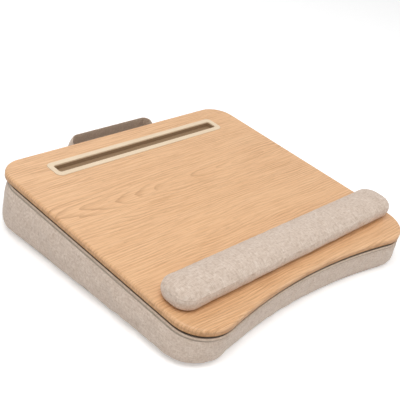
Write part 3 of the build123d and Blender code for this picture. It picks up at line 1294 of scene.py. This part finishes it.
@dataclass
class BackZip:
    """Zip on the cushion's back: woven tape, stitched edges, nylon coil, slider and pull tab."""

    cushion: WedgeCushion
    finishes: Finishes
    stitcher: Stitcher
    tape_margin: float = 1.6 * MM
    tooth_pitch: float = 1.9 * MM
    tooth_thickness: float = 0.55 * MM
    tooth_reach: float = 1.35 * MM
    tooth_offset: float = 1.05 * MM
    tooth_lift: float = 1.15 * MM
    tooth_slant: float = math.radians(12)
    coil_margin: float = 3 * MM
    sewing_margin: float = 4 * MM
    sewing_steps: int = 90

    def build(self) -> None:
        """Builds and dresses the zip."""
        low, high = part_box("zip_tape")
        wall = WallPiece(self.cushion.wall, low.x, high.x, low.z, high.z, 0.45 * MM)
        tape = wall.build("zip_tape_cloth", self.finishes.tape)
        dress(tape, "cushion", "zip_cloth", "zip_tape")
        rows = []
        for z in (low.z + self.tape_margin, high.z - self.tape_margin):
            start, length = low.x + self.sewing_margin, high.x - low.x - 2 * self.sewing_margin
            xs = [start + length * i / self.sewing_steps for i in range(self.sewing_steps + 1)]
            rows.append([Vector((x, wall.depth_at(x, z) + 0.55 * MM, z)) for x in xs])
        sewing = self.stitcher.sew("zip_stitches", rows, pitch=3.4 * MM, length=2.4 * MM, radius=0.25 * MM)
        dress(sewing, "cushion", "zip_cloth")
        dress(self.build_coil(), "cushion", "zip_coil", "zip_teeth")
        for node in ("zip_slider", "zip_pull"):
            bpy.data.objects[node].data.materials.clear()
            bpy.data.objects[node].data.materials.append(self.finishes.metal)
        LOG.info("zip: tape, stitches, coil, slider and pull")

    def build_coil(self) -> bpy.types.Object:
        """Builds two interlocked rows of coil turns, each a small spindle across the tape.

        Returns:
            The coil.
        """
        low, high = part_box("zip_teeth")
        wall = WallPiece(self.cushion.wall, low.x, high.x, low.z, high.z, 0.0)
        middle = (low.z + high.z) / 2
        work = bmesh.new()
        size = Matrix.Diagonal((self.tooth_thickness, self.tooth_thickness, self.tooth_reach, 1.0))
        for i in range(int((high.x - low.x - 2 * self.coil_margin) / self.tooth_pitch)):
            x = low.x + self.coil_margin + self.tooth_pitch * (i + 0.5)
            for side in (-1, 1):
                z = middle + side * self.tooth_offset
                depth = wall.depth_at(x, z) + self.tooth_lift
                move = Matrix.Translation((x + side * self.tooth_pitch / 4, depth, z))
                turn = move @ Matrix.Rotation(self.tooth_slant * side, 4, "Y") @ size
                bmesh.ops.create_uvsphere(work, u_segments=6, v_segments=5, radius=1.0, matrix=turn)
        return settle(work, "zip_coil_turns", [self.finishes.coil])


@dataclass
class WristRest:
    """Linen pillow: side band, seam, crowned top panel and flat base."""

    plane: BoardPlane
    finishes: Finishes
    stitcher: Stitcher
    length: float = 445 * MM
    width: float = 58 * MM
    radius: float = 24 * MM
    height: float = 26.6 * MM
    middle_u: float = 3.5 * MM
    middle_v: float = -144.5 * MM
    base: float = 2.3 * MM
    seam_height: float = 19 * MM
    swelling: Swelling = Swelling(pressure=5.0, slack=0.008, furthest=1.8 * MM)
    spacing: float = 4 * MM
    crown_inset: float = 22.5 * MM
    sway: float = 0.45 * MM
    tuck: float = 0.5 * MM
    tuck_reach: float = 2.2 * MM

    def runs(self) -> list[Arc | Straight]:
        """Lays out the rest in plan round its own middle, anticlockwise from the middle of the back.

        Returns:
            The runs.
        """
        half_length, half_width, radius = self.length / 2, self.width / 2, self.radius
        x, y = half_length - radius, half_width - radius
        return [
            Straight(Vector((0.0, half_width)), Vector((-x, half_width))),
            Arc(Vector((-x, y)), radius, 90, 180),
            Straight(Vector((-half_length, y)), Vector((-half_length, -y))),
            Arc(Vector((-x, -y)), radius, 180, 270),
            Straight(Vector((-x, -half_width)), Vector((0.0, -half_width))),
            Straight(Vector((0.0, -half_width)), Vector((x, -half_width))),
            Arc(Vector((x, -y)), radius, -90, 0),
            Straight(Vector((half_length, -y)), Vector((half_length, y))),
            Arc(Vector((x, y)), radius, 0, 90),
            Straight(Vector((x, half_width)), Vector((0.0, half_width))),
        ]

    def place(self, x: float, y: float, w: float) -> Vector:
        """Point in the row frame from the rest's own plan and its height over the board."""
        return self.plane.at(self.middle_u + x, self.middle_v + y, w)

    def profile(self) -> list[tuple[float, float, bool]]:
        """Lists the rows of the pillow from its base to its crown.

        Returns:
            Inset, height over the board and whether the row is on the top panel.
        """
        seam, top = self.seam_height, self.height
        side = [
            (5.4 * MM, self.base),
            (4.0 * MM, self.base + 0.9 * MM),
            (2.7 * MM, 5.4 * MM),
            (1.7 * MM, 8.4 * MM),
            (1.0 * MM, 11.4 * MM),
            (0.8 * MM, 14.4 * MM),
            (1.3 * MM, 16.9 * MM),
            (2.3 * MM, seam - 0.6 * MM),
            (1.7 * MM, seam),
        ]
        crown = [
            (2.0 * MM, seam + 0.5 * MM),
            (3.1 * MM, seam + 0.9 * MM),
            (4.4 * MM, top - 4.6 * MM),
            (6.6 * MM, top - 2.9 * MM),
            (9.6 * MM, top - 1.7 * MM),
            (13.5 * MM, top - 0.8 * MM),
            (18.0 * MM, top - 0.35 * MM),
            (22.5 * MM, top - 0.1 * MM),
        ]
        return [(*row, False) for row in side] + [(*row, True) for row in crown]

    def build_pillow(self) -> bpy.types.Object:
        """Builds the closed pillow, swollen between its base and its seam and above the seam.

        Returns:
            The pillow.
        """
        walk = stations(self.runs(), self.spacing)
        total = sum(run.length for run in self.runs())
        spine = self.length / 2 - self.radius

        def spine_ring(share: float, height: float, finish: int) -> Ring:
            """Makes a row drawn towards the pillow's middle line.

            Args:
                share: Share of its depth that is left.
                height: Height over the board.
                finish: Number of its finish.

            Returns:
                The row.
            """
            spots = [s.place - s.out * self.crown_inset for s in walk]
            spots = [Vector((min(max(p.x, -spine), spine), p.y * share)) for p in spots]
            return Ring([self.place(p.x, p.y, height) for p in spots], height, True, finish)

        rings = [spine_ring(0.0, self.base, 1), spine_ring(0.6, self.base, 1)]
        for inset in (20 * MM, 11 * MM):
            points = [s.place - s.out * inset for s in walk]
            rings.append(Ring([self.place(p.x, p.y, self.base) for p in points], -inset, True, 1))
        base_ring = len(rings)
        seam_ring = 0
        for inset, height, is_top in self.profile():
            points = []
            for station in walk:
                sway = noise.noise(Vector((station.run * 30, height * 90, 2.0))) * self.sway
                tuck = noise.noise(Vector((station.run * 190, 0.0, 7.0))) * self.tuck
                near = math.exp(-abs(height - self.seam_height) / self.tuck_reach)
                spot = station.place - station.out * (inset - sway - tuck * near)
                points.append(self.place(spot.x, spot.y, height + tuck * near * 0.4))
            if not is_top:
                seam_ring = len(rings)
            rings.append(Ring(points, height, is_top, 0))
        rings += [spine_ring(0.5, self.height, 0), spine_ring(0.0, self.height, 0)]
        runs = [s.run for s in walk]
        finishes = [self.finishes.rest, self.finishes.panel]
        pillow = wrap_rings("rest_pillow", rings, runs, total, finishes)

        def held(row: int, _: Vector) -> bool:
            """Whether a point lies on the base or on the seam."""
            return row <= base_ring or row == seam_ring

        self.swelling.apply(pillow, held)
        smooth_finish(pillow)
        return pillow

    def seam_path(self, inset: float, height: float) -> list[Vector]:
        """Closed path round the rest."""
        walk = stations(self.runs(), self.spacing)
        return [self.place(*(s.place - s.out * inset), height) for s in walk]

    def build(self) -> None:
        """Builds and dresses the wrist rest."""
        pillow = self.build_pillow()
        dress(pillow, "wrist_rest", "rest_cloth", "rest_cover", "rest_foam", "rest_base_panel")
        tree = surface_tree(pillow)
        path = []
        for spot in self.seam_path(4.2 * MM, self.seam_height + 2.6 * MM):
            hit, normal, *_ = tree.find_nearest(spot)
            path.append(hit + normal * 0.08 * MM)
        sewing = self.stitcher.sew("rest_stitches", [path], closed=True)
        dress(sewing, "wrist_rest", "rest_cloth")
        LOG.info("wrist rest: pillow and stitches")


@dataclass
class CarryHandle:
    """Padded strap that bows out behind the cushion, with its sewn patches."""

    cushion: WedgeCushion
    finishes: Finishes
    stitcher: Stitcher
    hinge: Vector
    span: float = 164 * MM
    bow: float = 30 * MM
    width: float = 28 * MM
    thickness: float = 5 * MM
    corner: float = 15 * MM
    root: float = 4 * MM
    neck: float = 20 * MM
    rest_angle: float = math.radians(24)
    patch_width: float = 22 * MM
    patch_inset: float = 2.2 * MM
    patch_steps: int = 8

    def spot(self, x: float, out: float, across: float) -> Vector:
        """Point from the strap's own plane: x along the hinge, out from it, across its width."""
        sine, cosine = math.sin(self.rest_angle), math.cos(self.rest_angle)
        return self.hinge + Vector((x, out * cosine - across * sine, out * sine + across * cosine))

    def path(self) -> list[tuple[Vector, Vector]]:
        """Lays out the strap's centreline in its plane.

        Returns:
            Its points, each with the direction to the outer face.
        """
        half, reach, radius = self.span / 2, self.bow - self.thickness / 2, self.corner
        runs = [
            Straight(Vector((half, -self.root + 1 * MM)), Vector((half, reach - radius))),
            Arc(Vector((half - radius, reach - radius)), radius, 0, 90),
            Straight(Vector((half - radius, reach)), Vector((radius - half, reach))),
            Arc(Vector((radius - half, reach - radius)), radius, 90, 180),
            Straight(Vector((-half, reach - radius)), Vector((-half, -self.root + 1 * MM))),
        ]
        found = []
        for part in runs:
            steps = max(4, round(part.length / (3 * MM)))
            found += [part.at(step / steps) for step in range(steps)]
        return found + [runs[-1].at(1.0)]

    def half_width_at(self, out: float) -> float:
        """Works out half the strap's width.

        Args:
            out: Distance from the hinge.

        Returns:
            Half the width there.
        """
        share = min(max(out / self.neck, 0.0), 1.0)
        eased = share * share * (3 - 2 * share)
        return self.root * 0.9 + (self.width / 2 - self.root * 0.9) * (0.35 * share + 0.65 * eased)

    def build_strap(self) -> bpy.types.Object:
        """Builds the strap, padded along its middle and flat at its sewn edges.

        Returns:
            The strap.
        """
        section = [(1.0, 0.0), (0.97, 0.3), (0.86, 0.42), (0.76, 0.4), (0.66, 0.66), (0.45, 0.9), (0.0, 1.0)]
        section += [(-a, t) for a, t in section[-2::-1]]
        loop = section + [(a, -t) for a, t in section[-2:0:-1]]
        work = bmesh.new()
        chart = work.loops.layers.uv.new("cloth")
        rows, runs, run, last = [], [], 0.0, None
        for centre, out in self.path():
            run += (centre - last).length if last is not None else 0.0
            last = centre
            runs.append(run)
            half = self.half_width_at(centre.y)
            pad = self.thickness / 2 * (0.94 + 0.05 * noise.noise(Vector((run * 60, 1.0, 0.0))))
            row = []
            for across, thick in loop:
                shift = out * thick * pad
                row.append(work.verts.new(self.spot(centre.x + shift.x, centre.y + shift.y, across * half)))
            rows.append(row)
        size = len(loop)
        outer = len(section) - 1
        for i in range(len(rows) - 1):
            for k in range(size):
                m = (k + 1) % size
                face = work.faces.new((rows[i][k], rows[i + 1][k], rows[i + 1][m], rows[i][m]))
                # Inner faces take the darker lining cloth: painted shade inside the bow
                face.material_index = 0 if k < outer else 1
                near, far = loop[k][0] * self.width / 2, loop[m][0] * self.width / 2
                here, ahead = runs[i], runs[i + 1]
                spots = ((here, near), (ahead, near), (ahead, far), (here, far))
                for corner, spot in zip(face.loops, spots):
                    corner[chart].uv = spot
        work.faces.new(rows[0])
        work.faces.new(rows[-1][::-1])
        bmesh.ops.recalc_face_normals(work, faces=work.faces)
        strap = settle(work, "carry_handle", [self.finishes.strap, self.finishes.lining_painted_shade])
        smooth_finish(strap)
        return strap

    def edge_rows(self, strap: bpy.types.Object) -> list[list[Vector]]:
        """Lays out the topstitching near both edges of the outer and the inner face.

        Args:
            strap: The strap.

        Returns:
            One list of points for each row.
        """
        tree = surface_tree(strap)
        rows = []
        for sign in (-1, 1):
            for face in (-1, 1):
                row = []
                for centre, out in self.path():
                    if centre.y > self.neck * 0.4:
                        half = self.half_width_at(centre.y) * 0.8 * sign
                        point = centre + out * self.thickness * 0.5 * face
                        spot, normal, *_ = tree.find_nearest(self.spot(point.x, point.y, half))
                        row.append(spot + normal * 0.12 * MM)
                rows.append(row)
        return rows

    def build(self) -> None:
        """Builds and dresses the handle and its patches."""
        strap = self.build_strap()
        dress(strap, "handle", "rest_cloth", "handle_strap")
        rows = self.edge_rows(strap)
        sewing = self.stitcher.sew(
            "handle_stitches", rows, pitch=3.6 * MM, length=2.7 * MM, radius=0.36 * MM
        )
        dress(sewing, "handle", "rest_cloth")
        low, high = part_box("handle_patches")
        stitch_rows = []
        patches = []
        for left in (low.x, high.x - self.patch_width):
            right = left + self.patch_width
            wall = WallPiece(self.cushion.wall, left, right, low.z, high.z, 0.7 * MM, 2 * MM)
            patches.append(wall.build("patch", self.finishes.strap))
            x_near, x_far = left + self.patch_inset, right - self.patch_inset
            z_near, z_far = low.z + self.patch_inset, high.z - self.patch_inset
            square = [(x_near, z_near), (x_far, z_near), (x_far, z_far), (x_near, z_far)]
            path = [*square, square[0], square[2]]
            row = []
            for (x0, z0), (x1, z1) in zip(path, path[1:]):
                for share in (step / self.patch_steps for step in range(self.patch_steps)):
                    x, z = x0 + (x1 - x0) * share, z0 + (z1 - z0) * share
                    row.append(Vector((x, wall.depth_at(x, z) + 0.8 * MM, z)))
            stitch_rows.append(row)
        patch = merge("handle_patch_pair", patches)
        dress(patch, "cushion", "linen_cloth", "handle_patches")
        sewing = self.stitcher.sew(
            "patch_stitches", stitch_rows, pitch=3 * MM, length=2.1 * MM, radius=0.28 * MM
        )
        dress(sewing, "cushion", "linen_cloth")
        LOG.info("handle: strap, patches and stitches")


def merge(name: str, pieces: Sequence[bpy.types.Object]) -> bpy.types.Object:
    """Joins pieces with their modifiers applied into one plain mesh.

    Args:
        name: Name of the new piece.
        pieces: The pieces, which are removed.

    Returns:
        The new piece.
    """
    graph = bpy.context.evaluated_depsgraph_get()
    work = bmesh.new()
    for piece in pieces:
        mesh = bpy.data.meshes.new_from_object(piece.evaluated_get(graph), depsgraph=graph)
        work.from_mesh(mesh)
        bpy.data.meshes.remove(mesh)
    finishes = list(pieces[0].data.materials)
    for piece in pieces:
        bpy.data.objects.remove(piece)
    return settle(work, name, finishes)


class Facing(Enum):
    """Side of a strip that shows, and that its stitches lie on."""

    UP = "up"
    DOWN = "down"


@dataclass
class StripSet:
    """Flat hook or loop strips in a row, replacing one node of the frame."""

    plane: BoardPlane
    finish: bpy.types.Material
    stitcher: Stitcher
    node: str
    body: str
    slot: str
    centres: list[tuple[float, float]]
    length: float
    width: float
    low: float
    high: float
    facing: Facing = Facing.UP
    corner: float = 3 * MM
    edge: float = 0.35 * MM
    sewing_inset: float = 2 * MM

    def strip(self, work: bmesh.types.BMesh, chart: bmesh.types.BMLayerItem, u: float, v: float) -> None:
        """Adds one strip with rounded corners and soft edges.

        Args:
            work: The mesh.
            chart: Its UV map.
            u: Middle of the strip to the right.
            v: Middle of the strip to the back.
        """
        edge = self.edge
        x, y = self.length / 2 - self.corner, self.width / 2 - self.corner
        quarters = ((x, y, 0), (-x, y, 90), (-x, -y, 180), (x, -y, 270))
        arcs = [Arc(Vector((a, b)), self.corner, start, start + 90) for a, b, start in quarters]
        spots = [arc.at(step / 4) for arc in arcs for step in range(5)]
        low, high = self.low + edge, self.high - edge
        rows = []
        for inset, w in ((edge, self.low), (0.0, low), (0.0, high), (edge, self.high)):
            plan = [place - out * inset for place, out in spots]
            rows.append([work.verts.new(self.plane.at(u + p.x, v + p.y, w)) for p in plan])
        count = len(spots)
        faces = [work.faces.new(rows[0][::-1]), work.faces.new(rows[-1])]
        for lower, upper in zip(rows, rows[1:]):
            for i in range(count):
                j = (i + 1) % count
                faces.append(work.faces.new((lower[i], lower[j], upper[j], upper[i])))
        for face in faces:
            for loop in face.loops:
                loop[chart].uv = loop.vert.co.xy

    def build(self) -> None:
        """Builds and dresses the strips and their stitches."""
        work = bmesh.new()
        chart = work.loops.layers.uv.new("cloth")
        for u, v in self.centres:
            self.strip(work, chart, u, v)
        tape = settle(work, self.node + "_tape", [self.finish])
        modifier = tape.modifiers.new("edges", "EDGE_SPLIT")
        modifier.split_angle = math.radians(50)
        dress(tape, self.body, self.slot, self.node)
        rows = []
        w = self.high if self.facing is Facing.UP else self.low
        x, y = self.length / 2 - self.sewing_inset, self.width / 2 - self.sewing_inset
        for u, v in self.centres:
            corners = [(-x, -y), (x, -y), (x, y), (-x, y)]
            rows.append([self.plane.at(u + a, v + b, w) for a, b in corners])
        sewing = self.stitcher.sew(self.node + "_sewing", rows, radius=0.15 * MM, closed=True)
        dress(sewing, self.body, self.slot)


@dataclass
class Studio:
    """Floor, world, lamps and the camera that looks from the front left."""

    camera_place: Vector = field(default_factory=lambda: Vector((-0.7942, -0.6727, 0.6373)))
    right: Vector = field(default_factory=lambda: Vector((0.7038, -0.6983, 0.13054)))
    forward: Vector = field(default_factory=lambda: Vector((0.66025, 0.57516, -0.48297)))
    focal_pixels: float = 814.7
    frame_pixels: float = 400.0
    sensor: float = 36.0
    near: float = 0.05
    far: float = 20.0
    target: Vector = field(default_factory=lambda: Vector((0.0, 0.0, 0.05)))
    daylight: float = 0.44
    floor_reach: float = 6.0
    floor_depth: float = 0.2 * MM
    floor_glow: float = 0.32

    def build(self) -> None:
        """Makes the studio."""
        data = bpy.data.cameras.new("view")
        data.sensor_width = self.sensor
        data.lens = self.sensor * self.focal_pixels / self.frame_pixels
        data.clip_start, data.clip_end = self.near, self.far
        camera = bpy.data.objects.new("view", data)
        back = -self.forward.normalized()
        up = back.cross(self.right).normalized()
        right = up.cross(back)
        turn = Matrix((right, up, back)).transposed().to_4x4()
        camera.matrix_world = Matrix.Translation(self.camera_place) @ turn
        bpy.context.scene.collection.objects.link(camera)
        bpy.context.scene.camera = camera
        self.lamp("key", Vector((-0.6, -0.35, 1.9)), 1.4, 20.0)
        self.lamp("fill", Vector((1.1, -1.4, 1.2)), 1.8, 7.0)
        self.lamp("back", Vector((0.4, 1.5, 1.4)), 1.5, 5.5)
        self.world()
        self.floor()

    def lamp(self, name: str, place: Vector, size: float, power: float) -> None:
        """Adds a square lamp that faces the tray.

        Args:
            name: Name of the lamp.
            place: Where it hangs.
            size: Length of its sides.
            power: Its power, in watts.
        """
        data = bpy.data.lights.new(name, "AREA")
        data.size = size
        data.energy = power
        lamp = bpy.data.objects.new(name, data)
        lamp.location = place
        lamp.rotation_mode = "QUATERNION"
        lamp.rotation_quaternion = (self.target - place).to_track_quat("-Z", "Y")
        bpy.context.scene.collection.objects.link(lamp)

    def world(self) -> None:
        """White for the camera and for reflections, a plain grey light for all else."""
        world = bpy.data.worlds.new("studio")
        bpy.context.scene.world = world
        world.use_nodes = True
        tree = world.node_tree
        tree.nodes.clear()
        path = tree.nodes.new("ShaderNodeLightPath")
        seen = tree.nodes.new("ShaderNodeMath")
        seen.operation = "MAXIMUM"
        tree.links.new(path.outputs["Is Camera Ray"], seen.inputs[0])
        tree.links.new(path.outputs["Is Glossy Ray"], seen.inputs[1])
        level = tree.nodes.new("ShaderNodeMapRange")
        level.inputs["To Min"].default_value = self.daylight
        level.inputs["To Max"].default_value = 1.0
        tree.links.new(seen.outputs[0], level.inputs["Value"])
        light = tree.nodes.new("ShaderNodeBackground")
        light.inputs["Color"].default_value = (1.0, 1.0, 1.0, 1.0)
        tree.links.new(level.outputs[0], light.inputs["Strength"])
        out = tree.nodes.new("ShaderNodeOutputWorld")
        tree.links.new(light.outputs[0], out.inputs[0])

    def floor(self) -> None:
        """White floor that keeps a soft shadow."""
        mesh = bpy.data.meshes.new("floor")
        reach, z = self.floor_reach, -self.floor_depth
        corners = [(-reach, -reach, z), (reach, -reach, z), (reach, reach, z), (-reach, reach, z)]
        mesh.from_pydata(corners, [], [(0, 1, 2, 3)])
        shader = Shader("floor_white")
        shader.wear((0.9, 0.9, 0.9, 1.0), 0.9)
        path = shader.add("ShaderNodeLightPath")
        glow = shader.mix(Value(shader, path.outputs["Is Camera Ray"]), (0, 0, 0, 1), (1, 1, 1, 1))
        shader.feed(shader.skin, "Emission Color", glow)
        shader.feed(shader.skin, "Emission Strength", self.floor_glow)
        link("floor", mesh, [shader.material])


def main() -> None:
    """Builds the tray round the frame, piece by piece."""
    logging.basicConfig(level=logging.INFO, format="%(name)s: %(message)s")
    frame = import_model()
    scene = bpy.context.scene
    scene.view_settings.view_transform = "Standard"
    Studio().build()
    plane = BoardPlane()
    finishes = Finishes(plane)
    stitcher = Stitcher(finishes.thread)
    nodes = frame["nodes"]
    for node, finish in (("top_board", finishes.oak), ("slot_trim", finishes.trim)):
        nodes[node].data.materials.clear()
        nodes[node].data.materials.append(finish)
    hinge = next(j for j in frame["joints"] if j["name"] == "handle_swing")
    cushion = WedgeCushion(plane, finishes)
    cushion.build()
    BackZip(cushion, finishes, stitcher).build()
    rest = WristRest(plane, finishes, stitcher)
    rest.build()
    CarryHandle(cushion, finishes, stitcher, Vector(hinge["pos_m"])).build()
    rows = (-130 * MM, 0.0, 130 * MM)
    under = [(0.0, v) for v in rows]
    shifted = [(-cushion.shift_left, v - cushion.shift_front) for v in rows]
    pair = [(rest.middle_u + u, rest.middle_v) for u in (-115 * MM, 115 * MM)]
    hooks = {"plane": plane, "stitcher": stitcher, "finish": finishes.hooks, "slot": "hook_tape"}
    loops = {"plane": plane, "stitcher": stitcher, "finish": finishes.loops, "slot": "loop_tape"}
    long = {"length": 340 * MM, "width": 25 * MM}
    short = {"length": 120 * MM, "width": 16 * MM}
    for strips in (
        StripSet(
            node="board_hook_strips",
            body="board",
            centres=under,
            low=-11.5 * MM,
            high=-10 * MM,
            facing=Facing.DOWN,
            **hooks,
            **long,
        ),
        StripSet(
            node="cushion_loop_strips",
            body="cushion",
            centres=shifted,
            low=-13.2 * MM,
            high=-11.7 * MM,
            **loops,
            **long,
        ),
        StripSet(
            node="rest_hook_strips", body="board", centres=pair, low=0.0, high=1 * MM, **hooks, **short
        ),
        StripSet(
            node="rest_loop_strips",
            body="wrist_rest",
            centres=pair,
            low=1.2 * MM,
            high=2.2 * MM,
            facing=Facing.DOWN,
            **loops,
            **short,
        ),
    ):
        strips.build()


if __name__ == "__main__":
    main()
